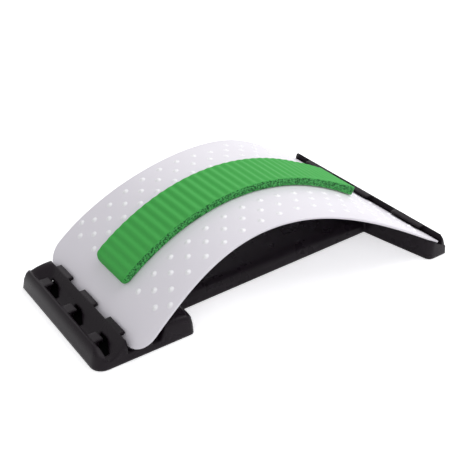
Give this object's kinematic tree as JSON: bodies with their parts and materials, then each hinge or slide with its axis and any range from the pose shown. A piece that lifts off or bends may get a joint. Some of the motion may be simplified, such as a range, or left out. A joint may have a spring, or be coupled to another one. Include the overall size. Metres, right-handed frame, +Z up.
{
  "type": "arched back stretcher",
  "caption": "Springy nubbed plastic board bowed over a moulded base, with a ribbed foam strip along its spine and level grooves at one end.",
  "frame": {"origin": "centre of the whole part's outline on the surface that it stands on", "axes": "+X runs from the adjustable bar with the level grooves to the fixed bar, +Y across to the far side, +Z up"},
  "size_m": [0.392, 0.2452, 0.0997],
  "materials": {
    "base_plastic": "satin black moulded plastic",
    "board_plastic": "smooth white plastic, slightly cool",
    "foam": "ribbed green closed-cell foam",
    "tape": "white adhesive tape",
    "pad_rubber": "black soft rubber"
  },
  "bodies": {
    "base": {"base_frame": "base_plastic", "foot_pad_step_near": "pad_rubber", "foot_pad_step_far": "pad_rubber", "foot_pad_fixed_near": "pad_rubber", "foot_pad_fixed_far": "pad_rubber"},
    "board": {"arch_board": "board_plastic", "foam_strip": "foam", "foam_tape": "tape"}
  },
  "joints": [
    {"name": "board_lift", "type": "hinge", "parent": "base", "child": "board", "pos_m": [0.1875, 0, 0.0154], "axis": [0, 1, 0], "range_deg": [0, 12], "deforming": ["arch_board"]}
  ]
}
